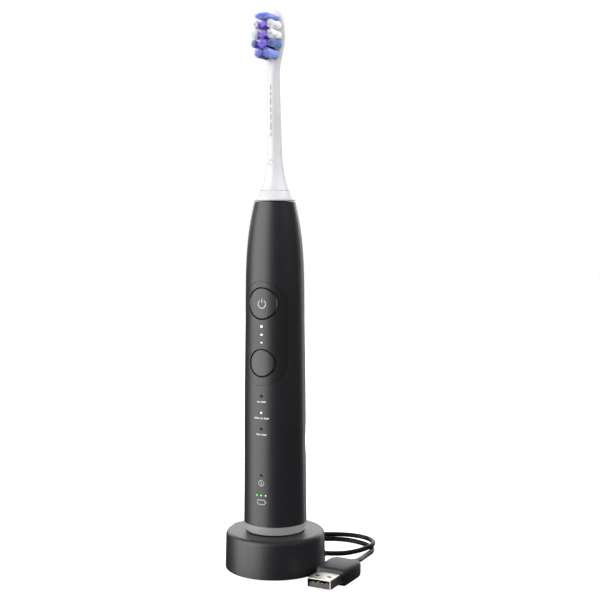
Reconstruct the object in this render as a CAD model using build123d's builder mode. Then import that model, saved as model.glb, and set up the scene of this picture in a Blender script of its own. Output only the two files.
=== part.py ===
from build123d import *
import math
import os

# An electric toothbrush standing on its inductive charger.  Millimetres, +Z up, the
# buttons and bristles face -Y, and the origin is the centre of the charger's underside.

# ---- driving dimensions ----------------------------------------------------------

# charger puck
puck_height = 18.6
puck_radius = 24.4
puck_taper = 0.4            # how much smaller the wall's radius is at the top
puck_wall = 1.8
puck_roof = 2.0
puck_edge = 1.9             # rounding of the top edge
foot_height = 0.6
foot_radius = 21.0
foot_width = 4.0
base_plate = 1.6
pin_radius = 3.4
pin_height = 9.0            # above the puck's roof
pin_wall = 0.8
pin_edge = 0.8              # rounding of the pin's tip
charger_coil_radius = 9.0
seat_height = 0.6           # low boss that the handle stands on
seat_radius = 10.0
exit_angle = 50.0           # where the cord leaves the wall, about Z from +X
exit_height = 3.0

# handle
cap_height = 4.0
cap_draft = 0.9             # how much smaller the cap is at its foot
cap_wall = 1.3
cap_floor = 1.6
cap_fit = 0.15              # play of the cap's plug in the housing
groove_rise = 1.8
groove_height = 1.4
groove_depth = 0.8
handle_length = 154.7       # black housing, from the grey cap to the shoulder
handle_wall = 1.6
roof_thickness = 3.0
handle_radius = 15.3
# share of the length, and how much smaller the radius is there
handle_sides = ((0.4, 0.5), (0.69, 1.1), (0.87, 2.1))
shoulder_radius = 9.9
panel_depth = 1.0
panel_width = 22.5
panel_length = 49.5
panel_rise = 67.7           # from the housing's lower edge to the panel's lower end
power_radius = 7.35
power_rise = 106.7          # button and light heights, from the housing's lower edge
mode_radius = 6.4
mode_rise = 78.5
button_thickness = 1.9
button_travel = 0.4
plunger_radius = 1.5
light_depth = 3.0
intensity_lights_at = ((95.9, 0.85), (92.0, 0.7), (88.3, 0.55))   # rise and radius
mode_lights_at = ((62.8, 0.7), (54.9, 0.7), (47.2, 0.7))
reminder_rise = 24.9
battery_light_rise = 15.3
battery_light_pitch = 2.2
small_light_radius = 0.65

# drive
shaft_radius = 1.75
shaft_out = 27.0            # bare shaft above the shoulder
flat_depth = 0.35
flat_length = 19.0
shaft_chamfer = 0.4
seal_radius = 4.35
seal_lip = 1.4
seal_lip_height = 0.6
rotor_core_wall = 0.9
magnet_length = 20.0
magnet_slot = 0.5           # between the four magnets
core_thickness = 0.9
winding_share = 0.5         # of the room that the stator's core and the rotor's leave
stator_length = 28.0
motor_rise = 84.0           # bottom of the stator, from the housing's lower edge
bearing_thickness = 3.0
bearing_radius = 4.6
bar_width = 2.4
bar_thickness = 0.6
anchor_height = 5.0

# inside the handle
cell_length = 48.0
cell_edge = 0.6
cell_clearance = 0.9        # between the cell and the board
motor_clearance = 0.7       # between the motor and the board
board_width = 14.0
board_thickness = 1.0
board_corner = 1.5
board_set_back = 6.4        # from the housing's widest outside to the board's front
tab_thickness = 0.3
tab_width = 4.0
foam_thickness = 1.4
chassis_set_back = 5.1      # from the housing's widest outside to the chassis
chassis_wall = 0.9
bulkhead = 1.6
bobbin_wall = 0.6
bobbin_gap = 1.0
switch_size = 6.0
switch_depth = 1.5
component_size = (3.2, 4.4) # parts on the charger's board
component_height = 1.6
component_count = 5
component_circle = 12.6

# brush head
collar_height = 4.9
collar_radius = 9.95
collar_top_radius = 7.9
collar_wall = 1.3
neck_length = 62.0          # from the collar to the head plate
head_length = 25.6
head_width = 13.0
head_thickness = 4.4
head_lean = 1.9             # the head plate's centre is this far in front of the axis
head_edge = 1.7
head_overlap = 2.0          # of the neck and the head plate
clip_wall = 2.0
clip_rise = 1.4
chip_thickness = 0.6
chip_inside = 2.8           # from the shaft's surface to the chip's bore
tuft_length = 9.2
tuft_root = 1.6             # depth of a tuft in the head plate

# cord and plug
cord_diameter = 2.4
layer_pitch = 2.45          # between turns and between layers of the coil
coil_mid_radius = 13.2
coil_turns_wide = 5
coil_layers = 2
coil_centre = (-24.8, 38.5)
tie_thickness = 0.6
tie_width = 5.0
tie_angle = 170.0
gland_length = 2.5          # outside the wall
gland_radius = 2.1
gland_draft = 0.4
gland_grip = 1.0            # how far it reaches behind the wall
plug_centre = (35.0, -26.3) # middle of the plug's mouth
plug_heading = 87.0         # from the mouth towards the cord, about Z from +X
plug_height = 3.95          # height of the plug's axis
usb_width = 12.0
usb_thickness = 4.5
usb_sheet = 0.35
usb_out = 11.8              # shell in front of the grip
tongue_offset = 0.95        # the tongue fills the upper half of the shell
grip_length = 20.5
grip_width = 16.2
grip_thickness = 7.8
grip_corner = 2.4
grip_edge = 2.2
boot_length = 5.0
boot_radius = 2.3
boot_wall = 0.35            # round the cord at its thin end
shell_corner = 0.5
window_size = 2.2
window_place = 5.2
tongue_thickness = 1.9
tongue_start = 0.9
contact_size = (1.0, 0.2, 7.4)
contact_pitch = 2.2
contact_sink = 0.1

# clearances
running = 0.05              # shaft in a bearing or a bore
loose = 0.4                 # beside anything that moves
shadow_gap = 0.4            # between the shoulder and the brush head
part_gap = 0.3
build_gap = 1.0             # beside a piece that is pushed in from one end
panel_seam = 0.12           # open line round the soft panel

# ---- what follows from them ------------------------------------------------------

cap_bottom = puck_height + seat_height
housing_bottom = cap_bottom + cap_height
shoulder = housing_bottom + handle_length
panel_middle = housing_bottom + panel_rise + panel_length / 2
power_height = housing_bottom + power_rise
mode_height = housing_bottom + mode_rise
pin_top = puck_height + pin_height
pocket_radius = pin_radius + loose
pocket_top = pin_top + loose
plug_top = pocket_top + cap_floor
cell_bottom = plug_top + 8 * build_gap
cell_top = cell_bottom + cell_length
stator_bottom = housing_bottom + motor_rise
stator_top = stator_bottom + stator_length
board_front = handle_radius - board_set_back
board_back = board_front - board_thickness
chassis_radius = handle_radius - chassis_set_back
cell_radius = board_back - cell_clearance
rotor_core_radius = shaft_radius + rotor_core_wall
stator_radius = board_back - motor_clearance
stator_inside = stator_radius - core_thickness
winding_inside = stator_inside - winding_share * (stator_inside - rotor_core_radius - loose)
magnet_radius = winding_inside - loose
shaft_bottom = stator_bottom - bearing_thickness - 3 * build_gap
shaft_top = shoulder + shaft_out
collar_bottom = shoulder + shadow_gap
neck_bottom = collar_bottom + collar_height
head_bottom = neck_bottom + neck_length - head_overlap
head_front = head_lean + head_thickness / 2
bore_radius = shaft_radius + running
puck_top_radius = puck_radius - puck_taper


def handle_outline(inset, bottom, top):
    """Half profile of the handle: a slow taper that rounds over into the shoulder."""
    edge = Polyline((0, bottom), (handle_radius - inset, bottom))
    between = [
        (handle_radius - inset - smaller, bottom + share * (top - bottom))
        for share, smaller in handle_sides
    ]
    side = Spline((handle_radius - inset, bottom), *between, (shoulder_radius - inset, top))
    Polyline(side @ 1, (0, top), edge @ 0)


def handle_solid(inset=0.0, top_inset=0.0):
    """The handle's round form, optionally shrunk inwards."""
    with BuildPart() as form:
        with BuildSketch(Plane.XZ):
            with BuildLine():
                handle_outline(inset, housing_bottom, shoulder - top_inset)
            make_face()
        revolve(axis=Axis.Z)
    return form.part


def ring(bottom, height, outer, inner):
    """A plain flat ring on the Z axis."""
    with BuildPart() as body:
        with BuildSketch(Plane.XY.offset(bottom)):
            Circle(outer)
            Circle(inner, mode=Mode.SUBTRACT)
        extrude(amount=height)
    return body.part


def front_plug(radius, height, depth, outside, across=0.0):
    """A round plug through the front wall, as long as its depth, with a flat face."""
    with BuildPart() as plug:
        with BuildSketch(Plane.XZ.offset(outside - depth)):
            with Locations((across, height)):
                Circle(radius)
        extrude(amount=depth)
    return plug.part


def surface_at(rise):
    """Distance of the handle's front surface from the axis at a height above its edge."""
    height = housing_bottom + rise
    sight = Axis((0, -2 * handle_radius, height), (0, 1, 0))
    point, direction = handle_outer.find_intersection_points(sight)[0]
    return -point.Y


def save(part, label):
    """Name a finished piece and write it."""
    part.label = label
    export_step(part, "parts/" + label + ".step")


os.makedirs("parts", exist_ok=True)
handle_outer = handle_solid()
handle_inner = handle_solid(handle_wall, roof_thickness)
handle_skin = handle_solid(panel_depth, panel_depth)

# ---- charger ---------------------------------------------------------------------

gland_plane = Plane(
    origin=(0, 0, exit_height),
    x_dir=(-math.sin(math.radians(exit_angle)), math.cos(math.radians(exit_angle)), 0),
    z_dir=(math.cos(math.radians(exit_angle)), math.sin(math.radians(exit_angle)), 0),
)
gland_inner_end = puck_radius - puck_wall - gland_grip

with BuildPart() as charger_housing:
    with BuildSketch(Plane.XZ):
        with BuildLine():
            Polyline(
                (0, foot_height), (puck_radius, foot_height), (puck_top_radius, puck_height),
                (0, puck_height), (0, foot_height),
            )
        make_face()
    revolve(axis=Axis.Z)
    fillet(charger_housing.edges().group_by(Axis.Z)[-1], radius=puck_edge)
    with BuildSketch(Plane.XY.offset(puck_height)):
        Circle(seat_radius)
    extrude(amount=seat_height)
    with BuildSketch(Plane.XY.offset(puck_height)):
        Circle(pin_radius)
    extrude(amount=pin_height)
    fillet(charger_housing.edges().group_by(Axis.Z)[-1], radius=pin_edge)
    with BuildSketch(Plane.XY.offset(foot_height)):
        Circle(puck_top_radius - puck_wall)
    extrude(amount=puck_height - puck_roof - foot_height, mode=Mode.SUBTRACT)
    with BuildSketch(Plane.XY.offset(foot_height)):
        Circle(pin_radius - pin_wall)
    extrude(amount=pin_top - pin_wall - foot_height, mode=Mode.SUBTRACT)
    with BuildSketch(gland_plane.offset(gland_inner_end)):
        Circle(gland_radius)
    extrude(amount=2 * (puck_wall + gland_grip), mode=Mode.SUBTRACT)
save(charger_housing.part, "charger_housing")

base_radius = puck_top_radius - puck_wall
with BuildPart() as charger_base:
    with BuildSketch(Plane.XY.offset(foot_height)):
        Circle(base_radius)
    extrude(amount=base_plate)
    with BuildSketch(gland_plane.offset(gland_inner_end - loose)):
        Circle(gland_radius + part_gap)
    extrude(amount=2 * (puck_wall + gland_grip), mode=Mode.SUBTRACT)
save(charger_base.part, "charger_base")

save(ring(0, foot_height, foot_radius, foot_radius - foot_width), "charger_foot")

board_bottom = foot_height + base_plate + build_gap
core_radius = pin_radius - pin_wall - part_gap
core_bottom = board_bottom
core_top = pin_top - pin_wall - part_gap
coil_bottom = board_bottom + board_thickness + component_height + part_gap
coil_top = puck_height - puck_roof - part_gap
with BuildPart() as ferrite_core:
    with BuildSketch(Plane.XY.offset(core_bottom)):
        Circle(core_radius)
    extrude(amount=core_top - core_bottom)
save(ferrite_core.part, "ferrite_core")
charger_winding = ring(coil_bottom, coil_top - coil_bottom, charger_coil_radius, core_radius + part_gap)
save(charger_winding, "charger_coil")

with BuildPart() as charger_board:
    with BuildSketch(Plane.XY.offset(board_bottom)):
        Circle(base_radius - gland_grip - foot_width)
        Circle(core_radius, mode=Mode.SUBTRACT)
    extrude(amount=board_thickness)
    with BuildSketch(Plane.XY.offset(board_bottom + board_thickness)):
        with PolarLocations(component_circle, component_count, start_angle=20):
            Rectangle(*component_size)
    extrude(amount=component_height)
save(charger_board.part, "charger_board")

with BuildPart() as cord_gland:
    for distance, radius in (
        (gland_inner_end, gland_radius),
        (puck_radius, gland_radius),
        (puck_radius + gland_length, gland_radius - gland_draft),
    ):
        with BuildSketch(gland_plane.offset(distance)):
            Circle(radius)
    loft(ruled=True)
save(cord_gland.part, "cord_gland")

# ---- handle shell and its front --------------------------------------------------

with BuildPart() as panel_block:
    with BuildSketch(Plane.XZ):
        with Locations((0, panel_middle)):
            SlotOverall(panel_length, panel_width, rotation=90)
    extrude(amount=handle_radius)

with BuildPart() as button_holes:
    with BuildSketch(Plane.XZ):
        with Locations((0, power_height)):
            Circle(power_radius + loose)
        with Locations((0, mode_height)):
            Circle(mode_radius + loose)
    extrude(amount=handle_radius)

light_places = [(0.0, rise, radius, "intensity_lights") for rise, radius in intensity_lights_at]
light_places += [(0.0, rise, radius, "mode_lights") for rise, radius in mode_lights_at]
light_places += [(0.0, reminder_rise, small_light_radius, "reminder_light")]
light_places += [
    (battery_light_pitch * step, battery_light_rise, small_light_radius, "battery_lights")
    for step in (-1, 0, 1)
]
light_pipes = [
    (name, front_plug(radius, housing_bottom + rise, light_depth, surface_at(rise), across))
    for across, rise, radius, name in light_places
]

with BuildPart() as light_holes:
    with BuildSketch(Plane.XZ):
        for across, rise, radius, name in light_places:
            with Locations((across, housing_bottom + rise)):
                Circle(radius)
    extrude(amount=2 * handle_radius)

with BuildPart() as panel_recess:
    add(panel_block.part)
    add(handle_skin, mode=Mode.SUBTRACT)

with BuildPart() as handle_housing:
    add(handle_outer)
    add(handle_inner, mode=Mode.SUBTRACT)
    add(panel_recess.part, mode=Mode.SUBTRACT)
    add(button_holes.part, mode=Mode.SUBTRACT)
    with BuildSketch(Plane.XY.offset(shoulder)):
        Circle(seal_radius)
    extrude(amount=-2 * roof_thickness, mode=Mode.SUBTRACT)
    add(light_holes.part, mode=Mode.SUBTRACT)
save(handle_housing.part, "handle_housing")

with BuildPart() as button_panel:
    with BuildSketch(Plane.XZ):
        with Locations((0, panel_middle)):
            SlotOverall(panel_length - 2 * panel_seam, panel_width - 2 * panel_seam, rotation=90)
    extrude(amount=handle_radius)
    add(handle_skin, mode=Mode.SUBTRACT)
    add(handle_outer, mode=Mode.INTERSECT)
    add(button_holes.part, mode=Mode.SUBTRACT)
    add(light_holes.part, mode=Mode.SUBTRACT)
save(button_panel.part, "button_panel")

for group in ("intensity_lights", "mode_lights", "reminder_light", "battery_lights"):
    save(Compound(children=[pipe for name, pipe in light_pipes if name == group]), group)


def button_set(name, rise, radius):
    """A button, and the plunger that carries its travel to the switch on the board."""
    height = housing_bottom + rise
    face = surface_at(rise)
    back = face - button_thickness
    with BuildPart() as button:
        add(front_plug(radius, height, 2 * button_thickness, face + button_thickness))
        add(handle_outer, mode=Mode.INTERSECT)
    save(button.part, name + "_button")
    plunger_end = board_front + 2 * button_travel
    with BuildPart() as plunger:
        with BuildSketch(Plane.XZ.offset(plunger_end)):
            with Locations((0, height)):
                Circle(plunger_radius)
        extrude(amount=back - plunger_end)
    save(plunger.part, name + "_plunger")


button_set("power", power_rise, power_radius)
button_set("mode", mode_rise, mode_radius)

# ---- grey end cap and the receiver coil ------------------------------------------

plug_radius = handle_radius - handle_wall - cap_fit
cap_inside = plug_radius - 2 * cap_wall
tube_radius = pocket_radius + cap_wall
groove_bottom = housing_bottom + groove_rise
groove_top = groove_bottom + groove_height
groove_radius = plug_radius - groove_depth
bobbin_bottom = cap_bottom + cap_floor
with BuildPart() as end_cap:
    with BuildSketch(Plane.XZ):
        with BuildLine():
            Polyline(
                (0, cap_bottom), (handle_radius - cap_draft, cap_bottom), (handle_radius, housing_bottom),
                (plug_radius, housing_bottom), (plug_radius, groove_bottom), (groove_radius, groove_bottom),
                (groove_radius, groove_top), (plug_radius, groove_top), (plug_radius, plug_top),
                (cap_inside, plug_top), (cap_inside, bobbin_bottom), (tube_radius, bobbin_bottom),
                (tube_radius, plug_top), (0, plug_top), (0, cap_bottom),
            )
        make_face()
    revolve(axis=Axis.Z)
    with BuildSketch(Plane.XY.offset(cap_bottom)):
        Circle(pocket_radius)
    extrude(amount=pocket_top - cap_bottom, mode=Mode.SUBTRACT)
save(end_cap.part, "end_cap")
save(ring(groove_bottom, groove_height, plug_radius, groove_radius), "end_cap_seal")

winding_radius = cap_inside - bobbin_gap
bobbin_height = plug_top - bobbin_bottom
with BuildPart() as coil_bobbin:
    add(ring(bobbin_bottom, bobbin_height, tube_radius + bobbin_wall, tube_radius))
    add(ring(bobbin_bottom, bobbin_wall, winding_radius, tube_radius))
    add(ring(plug_top - bobbin_wall, bobbin_wall, winding_radius, tube_radius))
save(coil_bobbin.part, "coil_bobbin")
winding = ring(
    bobbin_bottom + bobbin_wall, bobbin_height - 2 * bobbin_wall,
    winding_radius - loose, tube_radius + bobbin_wall,
)
save(winding, "receiver_coil")

# ---- chassis, battery and board --------------------------------------------------

lower_bearing_bottom = stator_bottom - bearing_thickness - build_gap
upper_bearing_bottom = stator_top + build_gap
front_cut = board_back - loose
chassis_bottom = cell_bottom - bulkhead - loose
chassis_top = upper_bearing_bottom + bearing_thickness
foam_bottom = cell_top + tab_thickness
anchor_bottom = foam_bottom + foam_thickness + bulkhead
cell_space = cell_length + foam_thickness + tab_thickness + loose
with BuildPart() as chassis:
    with BuildSketch(Plane.XY.offset(chassis_bottom)):
        Circle(chassis_radius)
        Circle(chassis_radius - chassis_wall, mode=Mode.SUBTRACT)
    extrude(amount=chassis_top - chassis_bottom)
    with BuildSketch(Plane.XY.offset(chassis_bottom), Plane.XY.offset(anchor_bottom - bulkhead)):
        Circle(chassis_radius)
    extrude(amount=bulkhead)
    with BuildSketch(Plane.XY.offset(lower_bearing_bottom), Plane.XY.offset(upper_bearing_bottom)):
        Circle(chassis_radius)
        Circle(bearing_radius, mode=Mode.SUBTRACT)
    extrude(amount=bearing_thickness)
    with BuildSketch(Plane.XZ.offset(front_cut)):
        with Locations((0, (chassis_bottom + chassis_top) / 2)):
            Rectangle(3 * chassis_radius, 2 * handle_length)
    extrude(amount=chassis_radius, mode=Mode.SUBTRACT)
    with BuildSketch(Plane.XZ.offset(-build_gap)):
        with Locations((0, cell_bottom - loose + cell_space / 2)):
            Rectangle(3 * chassis_radius, cell_space)
    extrude(amount=2 * chassis_radius, mode=Mode.SUBTRACT)
save(chassis.part, "chassis")

with BuildPart() as battery_cell:
    with BuildSketch(Plane.XY.offset(cell_bottom)):
        Circle(cell_radius)
    extrude(amount=cell_length)
    fillet(battery_cell.edges(), radius=cell_edge)
save(battery_cell.part, "battery_cell")

with BuildPart() as battery_tabs:
    with BuildSketch(Plane.XY.offset(cell_bottom - tab_thickness), Plane.XY.offset(cell_top)):
        with Locations((0, -cell_radius / 2)):
            Rectangle(tab_width, cell_radius)
    extrude(amount=tab_thickness)
save(battery_tabs.part, "battery_tabs")

with BuildPart() as foam_pad:
    with BuildSketch(Plane.XY.offset(foam_bottom)):
        Circle(cell_radius - build_gap)
    extrude(amount=foam_thickness)
save(foam_pad.part, "foam_pad")

board_low = plug_top + 2 * build_gap
board_high = power_height + switch_size
with BuildPart() as control_board:
    with BuildSketch(Plane.XZ.offset(board_back)):
        with Locations((0, (board_low + board_high) / 2)):
            RectangleRounded(board_width, board_high - board_low, board_corner)
    extrude(amount=board_thickness)
save(control_board.part, "control_board")

with BuildPart() as switch_bodies:
    with BuildSketch(Plane.XZ.offset(board_front)):
        with Locations((0, power_height), (0, mode_height)):
            Rectangle(switch_size, switch_size)
            Circle(plunger_radius + part_gap, mode=Mode.SUBTRACT)
    extrude(amount=switch_depth)
save(switch_bodies.part, "switch_bodies")

# ---- motor, shaft and seal -------------------------------------------------------

save(ring(stator_bottom, stator_length, stator_radius, stator_inside), "stator_core")
winding_bottom = stator_bottom + 2 * build_gap
winding_length = stator_length - 4 * build_gap
save(ring(winding_bottom, winding_length, stator_inside, winding_inside), "stator_coil")
save(ring(lower_bearing_bottom, bearing_thickness, bearing_radius, bore_radius), "lower_bearing")
save(ring(upper_bearing_bottom, bearing_thickness, bearing_radius, bore_radius), "upper_bearing")
seal_bottom = shoulder - roof_thickness
with BuildPart() as shaft_seal:
    add(ring(seal_bottom, roof_thickness, seal_radius, bore_radius))
    add(ring(shoulder, seal_lip_height, shaft_radius + seal_lip, bore_radius))
save(shaft_seal.part, "shaft_seal")

with BuildPart() as drive_shaft:
    with BuildSketch(Plane.XY.offset(shaft_bottom)):
        Circle(shaft_radius)
    extrude(amount=shaft_top - shaft_bottom)
    chamfer(drive_shaft.edges().group_by(Axis.Z)[-1], length=shaft_chamfer)
    with BuildSketch(Plane.XY.offset(shaft_top - flat_length)):
        with Locations((0, -2 * shaft_radius + flat_depth)):
            Rectangle(3 * shaft_radius, 2 * shaft_radius)
    extrude(amount=shaft_out, mode=Mode.SUBTRACT)
save(drive_shaft.part, "drive_shaft")

magnet_bottom = (stator_bottom + stator_top - magnet_length) / 2
save(ring(magnet_bottom, magnet_length, rotor_core_radius, shaft_radius), "rotor_core")
with BuildPart() as rotor_magnets:
    add(ring(magnet_bottom, magnet_length, magnet_radius, rotor_core_radius))
    with BuildSketch(Plane.XY.offset(magnet_bottom)):
        Rectangle(magnet_slot, 3 * magnet_radius)
        Rectangle(3 * magnet_radius, magnet_slot)
    extrude(amount=magnet_length, mode=Mode.SUBTRACT)
save(rotor_magnets.part, "rotor_magnets")

bar_bottom = anchor_bottom + build_gap
with BuildPart() as torsion_bar:
    with BuildSketch(Plane.XY.offset(bar_bottom)):
        Rectangle(bar_width, bar_thickness)
    extrude(amount=shaft_bottom - bar_bottom)
save(torsion_bar.part, "torsion_bar")
with BuildPart() as bar_anchor:
    with BuildSketch(Plane.XY.offset(anchor_bottom)):
        Circle(bearing_radius)
    extrude(amount=anchor_height)
    with BuildSketch(Plane.XY.offset(bar_bottom - part_gap)):
        Rectangle(bar_width + 2 * part_gap, bar_thickness + 2 * part_gap)
    extrude(amount=anchor_height, mode=Mode.SUBTRACT)
save(bar_anchor.part, "bar_anchor")

# ---- brush head ------------------------------------------------------------------

with BuildPart() as brush_collar:
    with BuildSketch(Plane.XZ):
        with BuildLine():
            Polyline(
                (collar_radius - collar_wall, collar_bottom), (collar_radius, collar_bottom),
                (collar_top_radius, neck_bottom), (collar_top_radius - collar_wall, neck_bottom),
                (collar_radius - collar_wall, collar_bottom),
            )
        make_face()
    revolve(axis=Axis.Z)
save(brush_collar.part, "brush_collar")

# share of the neck's length, radius and forward lean of its round sections
neck_sections = (
    (0.0, collar_top_radius, 0.0), (0.05, 6.7, 0.0), (0.09, 5.85, 0.0), (0.14, 5.1, 0.0),
    (0.23, 4.25, 0.0), (0.36, 3.85, 0.2), (0.58, 3.65, 0.7), (0.81, 3.5, 1.35), (1.0, 3.3, 1.8),
)
head_middle = head_bottom + head_length / 2
# across, height above the head plate's lower end, half width, half height, for each colour
tuft_groups = {
    "bristles_blue": ((0.0, 22.0, 4.4, 1.7), (-2.5, 4.3, 2.1, 2.2), (2.5, 4.3, 2.1, 2.2)),
    "bristles_purple": ((0.0, 18.0, 1.8, 1.7), (0.0, 13.6, 2.2, 2.0), (0.0, 8.9, 2.6, 2.1)),
    "bristles_white": (
        (-4.1, 18.2, 1.6, 2.0), (4.1, 18.2, 1.6, 2.0), (-4.3, 13.6, 1.7, 2.1), (4.3, 13.6, 1.7, 2.1),
    ),
    "bristles_teal": ((-4.6, 9.2, 1.6, 1.8), (4.6, 9.2, 1.6, 1.8)),
}


def tuft_block(tufts):
    """Solid blocks where the tufts of one colour stand, rooted in the head plate."""
    with BuildPart() as block:
        with BuildSketch(Plane.XZ.offset(head_front - tuft_root)):
            for across, rise, half_width, half_height in tufts:
                with Locations((across, head_bottom + rise)):
                    Ellipse(half_width, half_height)
        extrude(amount=tuft_root + tuft_length)
    return block.part


blocks = {name: tuft_block(tufts) for name, tufts in tuft_groups.items()}
with BuildPart() as head_plate:
    with BuildSketch(Plane.XZ.offset(head_front - head_thickness)):
        with Locations((0, head_middle)):
            RectangleRounded(head_width, head_length, head_width / 2 - part_gap)
    extrude(amount=head_thickness)
    fillet(head_plate.edges().group_by(Axis.Y)[-1], radius=head_edge)
with BuildPart() as brush_neck:
    for share, radius, lean in neck_sections:
        with BuildSketch(Plane.XY.offset(neck_bottom + share * neck_length)):
            with Locations((0, -lean)):
                Circle(radius)
    loft(ruled=True)
    add(head_plate.part)
    with BuildSketch(Plane.XY.offset(neck_bottom)):
        Circle(bore_radius)
    extrude(amount=shaft_top + part_gap - neck_bottom, mode=Mode.SUBTRACT)
    for block in blocks.values():
        add(block, mode=Mode.SUBTRACT)
save(brush_neck.part, "brush_neck")
for name, block in blocks.items():
    save(block, name)

clip_bottom = collar_bottom + clip_rise
save(ring(clip_bottom, neck_bottom - clip_bottom, shaft_radius + clip_wall, bore_radius), "shaft_clip")
chip_bottom = neck_bottom - chip_thickness
chip_radius = collar_top_radius - collar_wall
save(ring(chip_bottom, chip_thickness, chip_radius, shaft_radius + chip_inside), "head_chip")

# ---- cord ------------------------------------------------------------------------

gland_tip = gland_plane.offset(puck_radius + gland_length).origin
lead_points = [
    (gland_tip.X, gland_tip.Y, exit_height), (20.5, 23.8, 2.3), (26.4, 28.3, 2.1), (31.7, 32.8, 3.0),
    (34.9, 39.6, 3.7), (33.6, 46.8, 3.7), (28.4, 51.8, 3.7), (21.6, 53.9, 3.7), (13.6, 53.2, 3.7),
    (5.6, 49.7, 3.7), (0.2, 47.0, 3.7), (-3.9, 42.2, 3.7), (-5.8, 36.2, 3.7),
]
boot_end = usb_out + grip_length + boot_length
heading = math.radians(plug_heading)
plug_along = Vector(math.cos(heading), math.sin(heading), 0)
plug_plane = Plane(
    origin=(plug_centre[0], plug_centre[1], plug_height),
    x_dir=(math.sin(heading), -math.cos(heading), 0),
    z_dir=plug_along,
)
cord_end = plug_plane.offset(boot_end).origin
tail_points = [
    (-13.2, 52.4, 1.25), (-8.6, 48.6, 1.25), (-2.4, 46.9, 1.25), (4.2, 48.8, 1.25), (10.6, 52.0, 1.25),
    (18.2, 52.6, 1.25), (25.6, 50.5, 1.25), (31.9, 46.4, 1.25), (35.5, 40.2, 1.25), (35.3, 32.0, 1.25),
    (35.8, 24.2, 1.7), (37.1, 17.0, 3.0), (cord_end.X, cord_end.Y, cord_end.Z),
]


def cord_tube(points, label):
    """A tube of straight runs and tangent arcs; each arc takes most of its shorter run."""
    corners = [Vector(*point) for point in points]
    runs = [second - first for first, second in zip(corners, corners[1:])]
    radii = []
    for before, after in zip(runs, runs[1:]):
        half_turn = math.radians(before.get_angle(after)) / 2
        radii.append(0.45 * min(before.length, after.length) / math.tan(half_turn))
    with BuildPart() as tube:
        with BuildLine():
            route = FilletPolyline(*corners, radius=radii)
        with BuildSketch(Plane(origin=corners[0], z_dir=runs[0])):
            Circle(cord_diameter / 2)
        sweep(path=route)
    length = route.length
    share = tube.part.volume / (math.pi * cord_diameter ** 2 / 4 * length)
    print(label, "length", round(length, 1), "radii", [round(r, 1) for r in radii], "volume", round(share, 4))
    save(tube.part, label)


cord_tube(lead_points, "cord_lead")
cord_tube(tail_points, "cord_tail")

coil_half_width = coil_turns_wide * layer_pitch / 2
coil_inside = coil_mid_radius - coil_half_width
coil_outside = coil_mid_radius + coil_half_width
coil_height = coil_layers * layer_pitch + running
with BuildPart() as tie_block:
    with BuildSketch(Plane.XZ):
        with Locations((coil_mid_radius, coil_height / 2 + tie_thickness)):
            Rectangle(2 * coil_half_width + 2 * tie_thickness, coil_height + 2 * tie_thickness)
    extrude(amount=tie_width / 2, both=True)
coil_place = Pos(coil_centre[0], coil_centre[1], 0) * Rot(0, 0, tie_angle)
tie_form = coil_place * tie_block.part
coil_ring = Pos(coil_centre[0], coil_centre[1], 0) * ring(0, coil_height, coil_outside, coil_inside)
coil_space = Pos(coil_centre[0], coil_centre[1], 0) * ring(
    tie_thickness, coil_height, coil_outside, coil_inside,
)
with BuildPart() as cord_tie:
    add(tie_form)
    add(coil_space, mode=Mode.SUBTRACT)
save(cord_tie.part, "cord_tie")
with BuildPart() as cord_coil:
    add(coil_ring)
    add(cord_tie.part, mode=Mode.SUBTRACT)
save(cord_coil.part, "cord_coil")

# ---- plug ------------------------------------------------------------------------

with BuildPart() as usb_grip:
    with BuildSketch(plug_plane.offset(usb_out)):
        RectangleRounded(grip_width, grip_thickness, grip_corner)
    extrude(amount=grip_length)
    fillet(usb_grip.faces().sort_by(Axis.Y)[-1].edges(), radius=grip_edge)
save(usb_grip.part, "usb_grip")

with BuildPart() as usb_boot:
    with BuildSketch(plug_plane.offset(usb_out + grip_length)):
        Circle(boot_radius)
    with BuildSketch(plug_plane.offset(boot_end)):
        Circle(cord_diameter / 2 + boot_wall)
    loft(ruled=True)
save(usb_boot.part, "usb_boot")

with BuildPart() as usb_shell:
    with BuildSketch(plug_plane):
        RectangleRounded(usb_width, usb_thickness, shell_corner)
        Rectangle(usb_width - 2 * usb_sheet, usb_thickness - 2 * usb_sheet, mode=Mode.SUBTRACT)
    extrude(amount=usb_out)
    window_middle = plug_plane.offset(window_place).origin
    window_plane = Plane(origin=window_middle, x_dir=plug_plane.x_dir, z_dir=(0, 0, 1))
    with BuildSketch(window_plane):
        with Locations((-usb_width / 4, 0), (usb_width / 4, 0)):
            Rectangle(window_size, window_size)
    extrude(amount=usb_thickness, mode=Mode.SUBTRACT)
save(usb_shell.part, "usb_shell")

with BuildPart() as usb_tongue:
    with BuildSketch(plug_plane.offset(tongue_start)):
        with Locations((0, tongue_offset)):
            Rectangle(usb_width - 2 * usb_sheet - loose, tongue_thickness)
    extrude(amount=usb_out - tongue_start)
save(usb_tongue.part, "usb_tongue")
with BuildPart() as usb_contacts:
    with BuildSketch(plug_plane.offset(tongue_start + part_gap)):
        with Locations((0, tongue_offset - tongue_thickness / 2 - contact_sink)):
            with GridLocations(contact_pitch, contact_pitch, 4, 1):
                Rectangle(contact_size[0], contact_size[1])
    extrude(amount=contact_size[2])
save(usb_contacts.part, "usb_contacts")
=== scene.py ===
import math

import bmesh
import bpy
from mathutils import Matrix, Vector
from mathutils.bvhtree import BVHTree


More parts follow.
